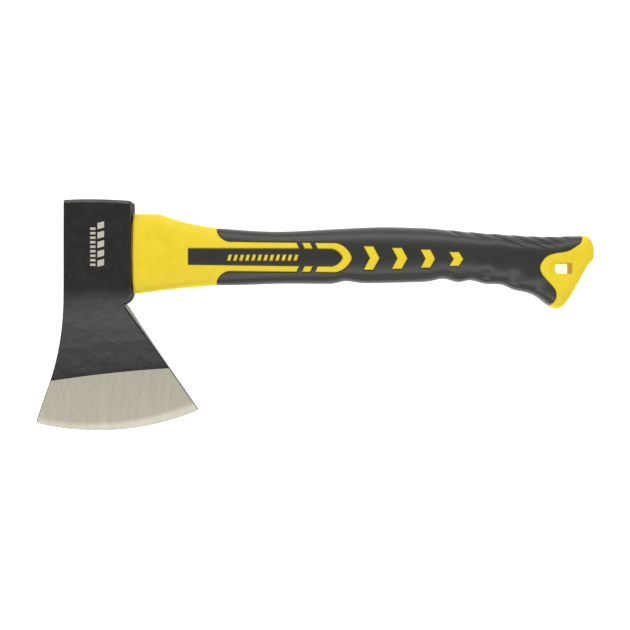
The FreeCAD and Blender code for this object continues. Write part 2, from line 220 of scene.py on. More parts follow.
def dense(points, step, closed=False):
    """Polyline with extra points, so that no run is longer than step."""
    points = [np.array(p, float) for p in points]
    if closed:
        points.append(points[0])
    made = []
    for a, b in zip(points, points[1:]):
        count = max(1, int(math.ceil(np.linalg.norm(b - a) / step)))
        made += [a + (b - a) * k / count for k in range(count)]
    if not closed:
        made.append(points[-1])
    return np.array(made)


def arc(a, b, c, step=0.5):
    """Points along the circle's arc from a through b to c."""
    (ax, ay), (bx, by), (cx, cy) = a, b, c
    d = 2 * (ax * (by - cy) + bx * (cy - ay) + cx * (ay - by))
    sa, sb, sc = ax * ax + ay * ay, bx * bx + by * by, cx * cx + cy * cy
    ux = (sa * (by - cy) + sb * (cy - ay) + sc * (ay - by)) / d
    uy = (sa * (cx - bx) + sb * (ax - cx) + sc * (bx - ax)) / d
    radius = math.hypot(ax - ux, ay - uy)
    first, middle, last = (math.atan2(y - uy, x - ux) for x, y in (a, b, c))
    turn = (last - first) % (2 * math.pi)
    if (middle - first) % (2 * math.pi) > turn:
        turn -= 2 * math.pi
    count = max(2, int(abs(turn) * radius / step))
    angles = [first + turn * k / count for k in range(count + 1)]
    return [(ux + radius * math.cos(t), uy + radius * math.sin(t)) for t in angles]


def spline(points, step=0.5):
    """Smooth open curve through the points."""
    p = [np.array(q, float) for q in points]
    p = [2 * p[0] - p[1]] + p + [2 * p[-1] - p[-2]]
    made = []
    for a, b, c, d in zip(p, p[1:], p[2:], p[3:]):
        count = max(2, int(np.linalg.norm(c - b) / step))
        for k in range(count):
            t = k / count
            made.append(tuple(0.5 * (2 * b + (c - a) * t + (2 * a - 5 * b + 4 * c - d) * t * t
                                     + (3 * b - a - 3 * c + d) * t ** 3)))
    made.append(tuple(p[-2]))
    return made


def inside(polygon, points):
    """True for each of the points that lies in the closed polygon."""
    polygon = np.asarray(polygon, float)
    x, y = points[:, 0], points[:, 1]
    low, high = polygon.min(0), polygon.max(0)
    near = np.nonzero((x >= low[0]) & (x <= high[0]) & (y >= low[1]) & (y <= high[1]))[0]
    found = np.zeros(len(points), bool)
    px, py = x[near], y[near]
    result = np.zeros(len(near), bool)
    for (ax, ay), (bx, by) in zip(polygon, np.roll(polygon, -1, axis=0)):
        crosses = (ay > py) != (by > py)
        if ay != by:
            result ^= crosses & (px < (bx - ax) * (py - ay) / (by - ay) + ax)
    found[near] = result
    return found


class Nearness:
    """Distance from points to densely sampled lines."""

    def __init__(self, lines, step=0.12):
        points = np.vstack([dense(line, step) for line in lines])
        self.tree = KDTree(len(points))
        for k, (x, y) in enumerate(points):
            self.tree.insert((x, y, 0.0), k)
        self.tree.balance()

    def __call__(self, points):
        return np.array([self.tree.find((x, y, 0.0))[2] for x, y in points])


def beside(line, away):
    """The line's points moved sideways."""
    line = np.asarray(line, float)
    along = np.gradient(line, axis=0)
    along /= np.maximum(np.linalg.norm(along, axis=1), 1e-9)[:, None]
    return line + away * np.column_stack([-along[:, 1], along[:, 0]])


def triangulate(points, lines, keep):
    """Delaunay triangles of the points, with the lines as edges, where keep(centres) is true."""
    coordinates = [tuple(p) for p in points]
    edges = []
    for line in lines:
        start = len(coordinates)
        coordinates += [tuple(p) for p in line]
        edges += [(start + k, start + k + 1) for k in range(len(line) - 1)]
    made = delaunay_2d_cdt([Vector(p) for p in coordinates], edges, [], 0, 1e-5)
    flat = np.array([tuple(v) for v in made[0]])
    faces = np.array([f for f in made[2] if len(f) == 3])
    centres = flat[faces].mean(axis=1)
    a, b, c = (flat[faces[:, k]] for k in range(3))
    area = (b[:, 0] - a[:, 0]) * (c[:, 1] - a[:, 1]) - (b[:, 1] - a[:, 1]) * (c[:, 0] - a[:, 0])
    faces = np.where((area > 0)[:, None], faces, faces[:, ::-1])
    faces = faces[keep(centres) & (np.abs(area) > 1e-7)]
    used, faces = np.unique(faces, return_inverse=True)
    return flat[used], faces.reshape(-1, 3)


def open_edges(faces):
    """Directed edges that only one of the triangles has."""
    directed = np.vstack([faces[:, [0, 1]], faces[:, [1, 2]], faces[:, [2, 0]]])
    seen = {tuple(edge) for edge in directed}
    return [edge for edge in seen if (edge[1], edge[0]) not in seen]


def normals_of(points, faces):
    """Unit normal at each point, the mean of its triangles' normals weighted by area."""
    a, b, c = (points[faces[:, k]] for k in range(3))
    face = np.cross(b - a, c - a)
    made = np.zeros_like(points)
    for k in range(3):
        np.add.at(made, faces[:, k], face)
    return made / np.maximum(np.linalg.norm(made, axis=1), 1e-12)[:, None]


def closed_line(points):
    """The points with the first one repeated at the end."""
    return np.vstack([points, points[:1]])


def between(first, last, steps):
    """Rows of points on the straight way from one row to another, without those two."""
    shares = [k / steps for k in range(1, steps)]
    return np.vstack([first * (1 - share) + last * share for share in shares])


def rounding(distance, radius):
    """How much a rounded edge has fallen at a distance from the side."""
    left = np.clip(radius - distance, 0.0, radius)
    return radius - np.sqrt(np.maximum(radius ** 2 - left ** 2, 0.0))


def oval(x, centre_y, half_y, half_z, power, count=72):
    """Closed ring across the handle's axis."""
    turn = 2 * math.pi * np.arange(count) / count
    y = half_y * np.sign(np.cos(turn)) * np.abs(np.cos(turn)) ** (2 / power)
    z = half_z * np.sign(np.sin(turn)) * np.abs(np.sin(turn)) ** (2 / power)
    return np.column_stack([np.full(count, x), centre_y + y, MID + z])


def skin_rings(rings, closed):
    """Quads between rings of equal counts, joined end to end or capped.

    The faces look outwards where the rings go towards +x.
    """
    count = len(rings[0])
    faces = []
    pairs = list(zip(range(len(rings)), range(1, len(rings))))
    if closed:
        pairs.append((len(rings) - 1, 0))
    for a, b in pairs:
        for k in range(count):
            n = (k + 1) % count
            faces.append([a * count + k, a * count + n, b * count + n, b * count + k])
    if not closed:
        last = (len(rings) - 1) * count
        faces += [list(range(count))[::-1], [last + k for k in range(count)]]
    return np.vstack(rings), faces


def mesh_object(name, points, faces, materials, indices=None):
    """Object from points in millimetres, without unused points."""
    used = np.zeros(len(points), bool)
    for face in faces:
        used[list(face)] = True
    places = np.cumsum(used) - 1
    mesh = bpy.data.meshes.new(name)
    mesh.from_pydata((np.asarray(points)[used] * MM).tolist(), [],
                     [[int(places[i]) for i in face] for face in faces])
    for material in materials:
        mesh.materials.append(material)
    if indices is not None:
        mesh.polygons.foreach_set("material_index", np.asarray(indices, np.int32))
    mesh.polygons.foreach_set("use_smooth", [True] * len(mesh.polygons))
    mesh.validate()
    made = bpy.data.objects.new(name, mesh)
    bpy.context.scene.collection.objects.link(made)
    return made


# ------------------------------ materials
class Surface:
    """Nodes of one material around its shader. Sizes are in millimetres."""

    def __init__(self, name):
        self.material = bpy.data.materials.new(name)
        self.material.use_nodes = True
        self.tree = self.material.node_tree
        self.shader = self.tree.nodes["Principled BSDF"]

    def fill(self, node, fixed, linked):
        for socket, value in fixed.items():
            node.inputs[socket].default_value = value
        for socket, source in linked.items():
            self.tree.links.new(source, node.inputs[socket])
        return node

    def add(self, kind, fixed, linked):
        """New node, with fixed values on some inputs and links to others."""
        return self.fill(self.tree.nodes.new("ShaderNode" + kind), fixed, linked)

    def place(self, scale=(1.0, 1.0, 1.0)):
        """Object coordinates in millimetres, stretched by scale."""
        source = self.add("TexCoord", {}, {}).outputs["Object"]
        scale = [s / MM for s in scale]
        return self.add("Mapping", {"Scale": scale}, {"Vector": source}).outputs["Vector"]

    def noise(self, vector, size, detail=3.0, roughness=0.5):
        """Noise with features of about the given size."""
        fixed = {"Scale": 1.0 / size, "Detail": detail, "Roughness": roughness}
        return self.add("TexNoise", fixed, {"Vector": vector}).outputs["Fac"]

    def ramp(self, value, low, dark, high, light):
        """Colour that runs from dark at the low value to light at the high one."""
        made = self.add("ValToRGB", {}, {"Fac": value})
        for element, position, colour in zip(made.color_ramp.elements, (low, high), (dark, light)):
            element.position = position
            element.color = (*colour, 1.0)
        return made.outputs["Color"]

    def spread(self, value, low, high):
        """Number that runs from low to high with a noise value."""
        fixed = {"From Min": 0.3, "From Max": 0.7, "To Min": low, "To Max": high}
        return self.add("MapRange", fixed, {"Value": value}).outputs["Result"]

    def bump(self, height, distance, below=None):
        """Bump with the height's full range as a distance."""
        linked = {"Height": height}
        if below is not None:
            linked["Normal"] = below
        return self.add("Bump", {"Strength": 1.0, "Distance": distance * MM}, linked).outputs["Normal"]

    def shade(self, colour, roughness, normal=None, fixed=None):
        """The finished material, with fixed values on the shader's other inputs."""
        linked = {"Base Color": colour, "Roughness": roughness}
        if normal is not None:
            linked["Normal"] = normal
        self.fill(self.shader, fixed or {}, linked)
        return self.material


def grey(value):
    """Dark grey with the slight warmth of all the black parts."""
    return (value, 0.99 * value, 0.84 * value)


def lacquer_material(name, smooth, rough):
    """Black lacquer over a forged surface."""
    surface = Surface(name)
    vector = surface.place()
    broad = surface.noise(vector, 7.0, 4.0, 0.6)
    peel = surface.noise(vector, 0.9, 2.0)
    return surface.shade(surface.ramp(broad, 0.3, grey(0.011), 0.7, grey(0.016)),
                         surface.spread(broad, smooth, rough),
                         surface.bump(peel, 0.02, below=surface.bump(broad, 0.22)),
                         {"Specular IOR Level": 0.5})


def ground_material(name, light, dark, rough):
    """Bright steel with fine scratches across the edge."""
    surface = Surface(name)
    fine = surface.noise(surface.place((1.0, 0.025, 0.3)), 0.22, 3.0, 0.6)
    wide = surface.noise(surface.place((1.0, 0.12, 0.3)), 5.0, 3.0, 0.6)
    value = surface.add("Mix", {"Factor": 0.3}, {"A": fine, "B": wide}).outputs["Result"]
    return surface.shade(surface.ramp(value, 0.32, dark, 0.66, light),
                         surface.spread(value, rough + 0.08, rough),
                         surface.bump(fine, 0.012), {"Metallic": 0.7})


def print_material():
    """Pale printed marks on the head, slightly worn."""
    surface = Surface("head_print")
    worn = surface.noise(surface.place(), 0.8, 4.0, 0.7)
    return surface.shade(surface.ramp(worn, 0.25, (0.42, 0.39, 0.33), 0.5, (0.56, 0.53, 0.45)),
                         surface.spread(worn, 0.55, 0.45))


def plastic_material():
    """Satin yellow polypropylene."""
    surface = Surface("yellow_plastic")
    vector = surface.place()
    cloudy = surface.noise(vector, 9.0, 3.0)
    grain = surface.noise(vector, 0.35, 2.0)
    return surface.shade(surface.ramp(cloudy, 0.3, (0.86, 0.64, 0.022), 0.7, (0.90, 0.70, 0.035)),
                         surface.spread(cloudy, 0.48, 0.56), surface.bump(grain, 0.012),
                         {"Subsurface Weight": 0.08, "Subsurface Scale": 0.002,
                          "Specular IOR Level": 0.25})


def rubber_material():
    """Soft black overmould with a fine spark-eroded texture."""
    surface = Surface("black_rubber")
    vector = surface.place()
    cloudy = surface.noise(vector, 12.0, 3.0)
    grain = surface.noise(vector, 0.3, 2.0, 0.6)
    return surface.shade(surface.ramp(cloudy, 0.3, grey(0.019), 0.7, grey(0.025)),
                         surface.spread(grain, 0.38, 0.48), surface.bump(grain, 0.03),
                         {"Sheen Weight": 0.15, "Sheen Roughness": 0.5})


def resin_material():
    """Dark cured resin with pits."""
    surface = Surface("cured_resin")
    broad = surface.noise(surface.place(), 3.0, 4.0, 0.6)
    return surface.shade(surface.ramp(broad, 0.3, (0.06, 0.05, 0.04), 0.7, (0.12, 0.10, 0.075)),
                         surface.spread(broad, 0.25, 0.4), surface.bump(broad, 0.35))


def fibreglass_material():
    """Pale pultruded bar, hidden behind the resin."""
    surface = Surface("fibreglass")
    fibres = surface.noise(surface.place((0.05, 1.0, 1.0)), 0.35, 4.0, 0.7)
    return surface.shade(surface.ramp(fibres, 0.3, (0.36, 0.33, 0.18), 0.7, (0.66, 0.63, 0.44)),
                         surface.spread(fibres, 0.5, 0.7), surface.bump(fibres, 0.08))


# ------------------------------ handle
def frame_tree(names):
    """The CAD nodes' surfaces in millimetres, for measuring them."""
    points, faces = [], []
    for name in names:
        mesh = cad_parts[name].data
        start = len(points)
        points += [v.co / MM for v in mesh.vertices]
        faces += [[start + i for i in p.vertices] for p in mesh.polygons]
    return BVHTree.FromPolygons(points, faces)


class HandleShape:
    """Top, bottom and half thickness of the CAD handle along its length."""

    def __init__(self):
        tree = frame_tree(["handle_jacket", "grip_overmould"])
        self.x = np.append(np.arange(HEAD_RIGHT + 0.4, END_X - 0.4, 0.8), END_X - 0.05)
        far = 120.0
        tops, bottoms, halves = [], [], []
        for x in self.x:
            tops.append(tree.ray_cast(Vector((x, far, MID)), Vector((0, -1, 0)))[0].y)
            bottoms.append(tree.ray_cast(Vector((x, -far, MID)), Vector((0, 1, 0)))[0].y)
            middle = (tops[-1] + bottoms[-1]) / 2
            hit = tree.ray_cast(Vector((x, middle, far)), Vector((0, 0, -1)))[0]
            halves.append(hit.z - MID if hit else 0.0)
        halves = np.array(halves)
        clear = (self.x < HOLE_LOW[0] - 5) | (self.x > HOLE_HIGH[0] + 6)
        halves = np.interp(self.x, self.x[clear], halves[clear])
        self.top = self.soften(np.array(tops))
        self.bottom = self.soften(np.array(bottoms))
        self.half = self.soften(halves)

    def soften(self, values):
        """Take out the facets of the CAD mesh, but not near the steep end."""
        weights = np.exp(-0.5 * (np.arange(-4, 5) / 1.6) ** 2)
        weights /= weights.sum()
        padded = np.concatenate([np.full(4, values[0]), values, np.full(4, values[-1])])
        soft = np.convolve(padded, weights, "valid")
        share = smoothstep(END_X - 12, END_X - 5, self.x)
        return soft * (1 - share) + values * share

    def edges(self, x):
        return np.interp(x, self.x, self.top), np.interp(x, self.x, self.bottom)

    def half_at(self, x, y):
        """Half thickness at a point of the side view."""
        top, bottom = self.edges(x)
        power = sample(SQUARENESS, x)
        v = np.clip(np.abs((y - (top + bottom) / 2) / ((top - bottom) / 2)), 0.0, 1.0)
        full = np.interp(x, self.x, self.half) * (1 - v ** power) ** (1 / power)
        past = np.clip(1 - (END_X - x) / END_ROUND, 0.0, 1.0)
        return full * (1 - past ** 3) ** (1 / 3)

    def outline(self):
        xs = np.concatenate([np.arange(NECK_X, END_X - 8, 0.8), np.arange(END_X - 8, END_X, 0.25),
                             [END_X]])
        top, bottom = self.edges(xs)
        return xs, top, bottom


shape = HandleShape()


def axis_y(x):
    """Height of the marks' middle line."""
    start_x, start_y = AXIS_START
    return start_y - AXIS_FALL * (x - start_x)


def away(sign, points):
    """Points of one side of the marks, from their distance to the middle line."""
    return [(x, axis_y(x) + sign * y) for x, y in points]


def neck_and_stripes():
    """Neck with its shoulders, the two stripes, and the strip cut in between them."""
    half = {}
    for sign in (1, -1):
        half[sign] = ([(NECK_X - 2, sign * OUTSIDE), (SHOULDER[0][0], sign * OUTSIDE)]
                      + arc(*away(sign, SHOULDER))
                      + away(sign, [(STRIPE_END_X - STRIPE_SLANT, STRIPE_OUTER),
                                    (STRIPE_END_X, STRIPE_INNER),
                                    (STRIP_START_X, STRIP_START_HALF[sign])]))
    return half[1] + half[-1][::-1]


def dash(sign):
    """Short piece of stripe between the stripes and the loop."""
    start, end = DASH_X
    return away(sign, [(start - STRIPE_SLANT, STRIPE_OUTER), (start, STRIPE_INNER),
                       (end, STRIPE_INNER), (end - STRIPE_SLANT, STRIPE_OUTER)])


def loop():
    """The long loop that ends the stripes, open towards the head."""
    def side(sign, points):
        return arc(*away(sign, points))

    ends = [(LOOP_START_X - STRIPE_SLANT, STRIPE_OUTER), (LOOP_START_X, STRIPE_INNER)]
    outer = [away(1, ends)[0]] + side(1, LOOP_OUTER) + side(-1, LOOP_OUTER)[::-1][1:]
    inner = away(-1, ends) + side(-1, LOOP_INNER) + side(1, LOOP_INNER)[::-1][1:]
    return outer + inner + [away(1, ends)[1]]


def chevron(left, right, reach, half):
    """Arrow that points to the pommel."""
    axis = axis_y(right)
    return [(left, axis + half), (right, axis + half), (right + reach, axis), (right, axis - half),
            (left, axis - half), (left + reach, axis)]


def bar(k):
    """One of the slanted bars in the strip."""
    left = BAR_START_X + BAR_PITCH * k
    low, high = BAR_Y
    return [(left, low), (left + BAR_WIDTH, low), (left + BAR_WIDTH + BAR_SLANT, high),
            (left + BAR_SLANT, high)]


def pommel():
    return spline(POMMEL_MARK) + list(PAST_POMMEL)


def hanging_hole():
    """Outline of the hole: two wide corners towards the head and two tight ones."""
    (x0, y0), (x1, y1) = HOLE_LOW, HOLE_HIGH
    made = []
    for cx, cy, start, radius in ((x1, y1, 0, HOLE_CORNER), (x0, y1, 90, HOLE_NOSE),
                                  (x0, y0, 180, HOLE_NOSE), (x1, y0, 270, HOLE_CORNER)):
        in_x = cx - radius if cx == x1 else cx + radius
        in_y = cy - radius if cy == y1 else cy + radius
        for step in range(HOLE_CORNER_STEPS + 1):
            angle = math.radians(start + 90 * step / HOLE_CORNER_STEPS)
            made.append((in_x + radius * math.cos(angle), in_y + radius * math.sin(angle)))
    return made


def rib_relief(x, y):
    """Shingle-like ribs: a slow fall, then a sharp step up, fading as they run down the side."""
    made = np.zeros_like(x)
    direction_x, direction_y = RIB_DIRECTION
    for start_x, length in RIBS:
        dx, dy = x - start_x, y - np.interp(start_x, shape.x, shape.top)
        along = dx * direction_x + dy * direction_y
        across = -dx * direction_y + dy * direction_x
        fade = smoothstep(length, length * 0.35, along) * smoothstep(-12, -7, along)
        profile = np.where(across < 0, np.exp(across / RIB_FALL), np.exp(-across / RIB_STEP))
        made = np.minimum(made, -RIB_DEPTH * fade * profile)
    return made * (0.5 + 0.5 * smoothstep(0.0, 3.0, shape.edges(x)[0] - y))


def dent_relief(x, y):
    """Finger dents on the belly, and the crease that runs along it."""
    height = y - shape.edges(x)[1]
    made = np.zeros_like(x)
    for (centre_x, centre_y), radius, depth in DENTS:
        made -= depth * bell(np.hypot(x - centre_x, y - centre_y), radius)
    made *= smoothstep(0.0, 4.0, height)
    run = smoothstep(*CREASE_START, x) * smoothstep(*CREASE_END, x)
    return made - CREASE_DEPTH * run * bell(height - CREASE_HEIGHT, CREASE_WIDTH)


def handle_grid():
    """Points spread over the handle, closer together towards its top and bottom."""
    xs = np.concatenate([np.arange(NECK_X + GRID_STEP, END_X - 6, GRID_STEP),
                         np.arange(END_X - 6, END_X - 0.1, 0.4)])
    turn = np.pi * np.arange(1, GRID_ROWS) / GRID_ROWS
    gx, gt = np.meshgrid(xs, turn)
    top, bottom = shape.edges(gx)
    gy = (top + bottom) / 2 + (top - bottom) / 2 * np.cos(gt)
    return np.column_stack([gx.ravel(), gy.ravel()])


def rib_points():
    """Points along both sides of each rib's step."""
    made = []
    for start_x, length in RIBS:
        start = np.array([start_x, np.interp(start_x, shape.x, shape.top)])
        line = dense([start - 8 * RIB_DIRECTION, start + length * RIB_DIRECTION], 0.7)
        for offset in RIB_ROWS:
            made.append(beside(line, offset))
    return np.vstack(made)


def border_runs(zones):
    """The zones' borders as lines, without what lies outside the handle."""
    low, high = (NECK_X - 1, -45), (END_X + 1, 35)
    made = []
    for zone in zones:
        line = closed_line(dense(zone, BORDER_STEP, closed=True))
        within = ((line > low) & (line < high)).all(axis=1)
        breaks = np.nonzero(np.diff(within.astype(int)))[0] + 1
        runs = [run for run in np.split(line, breaks) if len(run) > 1]
        made += [run for run in runs if ((run > low) & (run < high)).all()]
    return made


class HandleSide:
    """Side view of the handle as triangles, with the colour borders as edges."""

    def __init__(self):
        xs, top, bottom = shape.outline()
        self.silhouette = np.vstack([np.column_stack([xs, bottom]), np.column_stack([xs, top])[::-1]])
        self.zones = [neck_and_stripes(), dash(1), dash(-1), loop(), pommel()]
        self.zones += [chevron(*sizes) for sizes in CHEVRONS] + [bar(k) for k in range(BAR_COUNT)]
        self.hole = hanging_hole()
        self.borders = border_runs(self.zones)
        self.rim = closed_line(dense(self.hole, 0.5, closed=True))
        outline = closed_line(self.silhouette)
        self.near = Nearness(self.borders)
        self.near_hole = Nearness([self.rim])
        self.near_outline = Nearness([outline])
        points = np.vstack([self.spread_points(), self.row_points()])
        points = points[~inside(self.hole, points)]
        self.flat, self.faces = triangulate(points, [outline, self.rim] + self.borders, self.keep)
        self.sort_rims(top[0], bottom[0])
        self.is_yellow = np.zeros(len(self.faces), bool)
        centres = self.flat[self.faces].mean(axis=1)
        for zone in self.zones:
            self.is_yellow |= inside(zone, centres)

    def keep(self, centres):
        return inside(self.silhouette, centres) & ~inside(self.hole, centres)

    def spread_points(self):
        """Points away from every line."""
        grid = np.vstack([handle_grid(), rib_points()])
        grid = grid[inside(self.silhouette, grid)]
        clear = (self.near(grid) > 1.1) & (self.near_hole(grid) > 1.0)
        return grid[clear & (self.near_outline(grid) > 0.12)]

    def row_points(self):
        """Rows of points beside the colour borders and round the hole."""
        rows = []
        for line in self.borders:
            for offset in BORDER_ROWS:
                for side in (1, -1):
                    row = beside(line, side * offset)
                    rows.append(row[self.near(row) > offset * 0.85])
        for offset in HOLE_ROWS:
            row = beside(self.rim, -offset)
            rows.append(row[self.near_hole(row) > offset * 0.85])
        rows = np.vstack(rows)
        return rows[inside(self.silhouette, rows) & (self.near_outline(rows) > 0.15)]

    def sort_rims(self, neck_top, neck_bottom):
        """Which points lie on the neck's end or the hole's rim, and which both sides share."""
        count = len(self.flat)
        on_rim = np.zeros(count, bool)
        on_rim[[i for edge in open_edges(self.faces) for i in edge]] = True
        y = self.flat[:, 1]
        self.at_neck = self.flat[:, 0] < NECK_X + TOUCH
        self.at_hole = on_rim & (self.near_hole(self.flat) < 0.05)
        self.shared = on_rim & ~self.at_neck & ~self.at_hole
        at_corner = (y > neck_top - TOUCH) | (y < neck_bottom + TOUCH)
        self.shared |= on_rim & self.at_neck & at_corner
        self.twin = np.arange(count) + count
        self.twin[self.shared] = np.nonzero(self.shared)[0]

    def both_sides(self, faces):
        return np.vstack([faces, self.twin[faces[:, ::-1]]])

    def relief(self):
        """How far each point stands out from the plain shape."""
        x, y = self.flat[:, 0], self.flat[:, 1]
        distance = self.near(self.flat)
        from_hole = self.near_hole(self.flat)
        groove = -GROOVE_DEPTH * (1 - smoothstep(0.0, GROOVE_REACH, distance))
        yellow = groove + PROUD * smoothstep(0.1, 0.6, distance)
        yellow -= HOLE_RECESS * (1 - smoothstep(*HOLE_RECESS_REACH, from_hole))
        yellow -= rounding(from_hole, HOLE_MOUTH)
        black = groove + (rib_relief(x, y) + dent_relief(x, y)) * smoothstep(0.0, 1.5, distance)
        in_yellow = np.zeros(len(self.flat), bool)
        in_yellow[self.faces[self.is_yellow].ravel()] = True
        made = np.where(in_yellow, yellow, black)
        made[self.at_neck] = 0.0
        return made

    def layers(self):
        """Points of both sides' surface, then the points straight under them."""
        half = shape.half_at(self.flat[:, 0], self.flat[:, 1])
        half[self.shared] = 0.0
        base = np.vstack([np.column_stack([self.flat, MID + half]),
                          np.column_stack([self.flat, MID - half])])
        normals = normals_of(base, self.both_sides(self.faces))
        relief = np.tile(self.relief(), 2)
        outer = base + normals * relief[:, None]
        under = base + normals * (np.minimum(0.9 * relief, 0.0) - GRIP_WALL)[:, None]
        for layer in (outer, under):
            layer[np.nonzero(self.shared)[0], 2] = MID
        return np.vstack([outer, under])


def build_handle(yellow, black):
    """The jacket and the grip as two closed meshes that meet along the colour borders."""
    side = HandleSide()
    points = side.layers()
    down = len(points) // 2
    yellow_faces = side.both_sides(side.faces[side.is_yellow])
    black_faces = side.both_sides(side.faces[~side.is_yellow])
    black_edges = set(open_edges(black_faces))
    walls = [(a, b) for a, b in sorted(open_edges(yellow_faces)) if (b, a) in black_edges]
    grip = black_faces.tolist() + (black_faces[:, ::-1] + down).tolist()
    grip += [[a, b, b + down, a + down] for a, b in walls]
    jacket = yellow_faces.tolist() + (black_faces + down).tolist()
    jacket += [[b, a, a + down, b + down] for a, b in walls]
    hole_points, hole_faces = hole_walls(points, side)
    jacket += hole_faces + [neck_end(side)]
    tang_points, tang_faces = tang_rings()
    start = len(points) + len(hole_points)
    jacket += [[i + start for i in face] for face in tang_faces]
    jacket_points = np.vstack([points, hole_points, tang_points])
    jacket_piece = mesh_object("jacket", jacket_points, jacket, [yellow])
    sharpen_neck_end(jacket_piece.data)
    return jacket_piece, mesh_object("grip", points, grip, [black])


def hole_walls(points, side):
    """Inner wall of the hanging hole, from the front mouth to the back one."""
    ring = np.nonzero(side.at_hole)[0]
    middle = side.flat[ring].mean(axis=0)
    ring = ring[np.argsort(np.arctan2(*(side.flat[ring] - middle).T[::-1]))]
    back = side.twin[ring]
    made = between(points[ring], points[back], HOLE_WALL_ROWS)
    start = len(points)
    rows = [ring]
    rows += [np.arange(len(ring)) + start + k * len(ring) for k in range(HOLE_WALL_ROWS - 1)]
    rows.append(back)
    faces = []
    for upper, lower in zip(rows, rows[1:]):
        for k in range(len(ring)):
            n = (k + 1) % len(ring)
            faces.append([upper[k], upper[n], lower[n], lower[k]])
    return made, faces


def neck_end(side):
    """Flat end of the neck, which faces the head."""
    ring = np.nonzero(side.at_neck)[0]
    ring = ring[np.argsort(side.flat[ring, 1])]
    back = [side.twin[i] for i in ring[::-1] if side.twin[i] != i]
    return [int(i) for i in list(ring) + back]


def sharpen_neck_end(mesh):
    """Crisp shading round the end of the neck."""
    for edge in mesh.edges:
        if max(abs(mesh.vertices[i].co.x - NECK_X * MM) for i in edge.vertices) < 1e-6:
            edge.use_edge_sharp = True


def tang_rings():
    """Tang of the jacket inside the eye, with the pocket for the fibreglass bar."""
    end_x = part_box("fibreglass_core")[0].x / MM + 0.1
    sizes = [(end_x, -0.4), (end_x + 0.1, -0.12), (end_x + 0.4, 0.0), (NECK_X - 0.1, 0.0)]
    rings = [oval(x, EYE_CENTRE_Y, TANG_HALF[0] + grow, TANG_HALF[1] + grow, EYE_POWER)
             for x, grow in sizes]
    for x in (NECK_X - 0.1, end_x):
        rings.append(oval(x, CORE_CENTRE_Y, *CORE_HALF, CORE_POWER))
    return skin_rings(rings, closed=True)


# ------------------------------ head
def edge_y(x):
    """Height of the cutting edge."""
    return EDGE_CENTRE[1] - np.sqrt(EDGE_RADIUS ** 2 - (x - EDGE_CENTRE[0]) ** 2)


def grind_y(x):
    """Border of the paint, a shallow arch."""
    return GRIND_Y + GRIND_SLOPE * x - GRIND_ARCH * (x - GRIND_TOP_X) ** 2


def bevel_size(x):
    """Width of the honed bevel, and the half thickness at its border."""
    share = (x - TOE_X) / (HEEL_X - TOE_X)
    return [a + share * (b - a) for a, b in zip(BEVEL_TOE, BEVEL_HEEL)]


def head_sides():
    """Side view of the head in five runs: poll, lug, the blade's back edge, cutting edge, front."""
    centre_x = HEAD_LEFT - BEARD_RADIUS
    beard = [(centre_x + BEARD_RADIUS * math.cos(t), BEARD_START_Y - BEARD_RADIUS * math.sin(t))
             for t in np.linspace(BEARD_ANGLE, 0, 40)]
    poll = arc((HEAD_LEFT + POLL_CORNER, POLL_Y - POLL_ARCH), (0.0, POLL_Y),
               (HEAD_RIGHT - POLL_CORNER, POLL_Y - POLL_FALL))
    lug = [(HEAD_RIGHT, POLL_Y - POLL_FALL - POLL_CORNER)] + arc(*LUG)
    edge_xs = np.linspace(HEEL_X - 0.4, TOE_X + 1.2, 170)
    back = [LUG[2], (HEEL_X + 0.1, float(edge_y(HEEL_X)) + 0.8)]
    edge = [(float(x), float(edge_y(x))) for x in edge_xs]
    toe = [(TOE_X + 0.35, float(edge_y(TOE_X)) + 0.7), (TOE_X + 0.1, float(edge_y(TOE_X)) + 1.9)]
    front = toe + beard + [(HEAD_LEFT, POLL_Y - POLL_ARCH - POLL_CORNER)]
    return poll, lug, back, edge, front


def cheek_taper(share):
    """What is left of the cheek's thickness on the way from its flat part to the paint's border."""
    ways, lefts = zip(*CHEEK_TAPER)
    table = np.linspace(0, 1, 101)
    soft = np.interp(table, ways, lefts)
    soft = np.convolve(np.pad(soft, 5, mode="edge"), np.ones(11) / 11, "valid")
    soft = (soft - soft[-1]) / (soft[0] - soft[-1])
    return np.interp(share, table, soft)


def plain_half(points):
    """Half thickness of the head at points of the side view, before its edges are rounded."""
    x, y = points[:, 0], points[:, 1]
    width, bevel = bevel_size(x)
    paint = grind_y(x)
    share = np.clip((CHEEK_END_Y - y) / (CHEEK_END_Y - paint), 0.0, 1.0)
    cheek = GRIND_HALF + (MID - HEAD_LOW.z - GRIND_HALF) * cheek_taper(share)
    from_edge = y - edge_y(x)
    ground = bevel + (GRIND_HALF - bevel) * (from_edge - width) / (paint - edge_y(x) - width)
    honed = EDGE_HALF + (bevel - EDGE_HALF) * np.clip(from_edge / width, 0.0, None)
    blend = np.clip(0.5 + 0.5 * (honed - ground) / HONE_BLEND, 0.0, 1.0)
    steel = honed * (1 - blend) + ground * blend - HONE_BLEND * blend * (1 - blend)
    return np.where(y > paint, cheek, steel)


def print_marks():
    """Generic print on the cheek: a row of short bars beside a row of slanted blocks."""
    marks = []
    left, right = PRINT_BAR_X
    for k in range(PRINT_BAR_COUNT):
        low = PRINT_BAR_Y + PRINT_BAR_PITCH * k
        high = low + PRINT_BAR_HEIGHT
        marks.append([(left, low), (right, low), (right, high), (left, high)])
    left, right = PRINT_BLOCK_X
    for k in range(PRINT_BLOCK_COUNT):
        low = PRINT_BLOCK_Y + PRINT_BLOCK_PITCH * k
        high = low + PRINT_BLOCK_HEIGHT
        marks.append([(left, low), (right, low + PRINT_BLOCK_SLANT),
                      (right, high + PRINT_BLOCK_SLANT), (left, high)])
    return marks


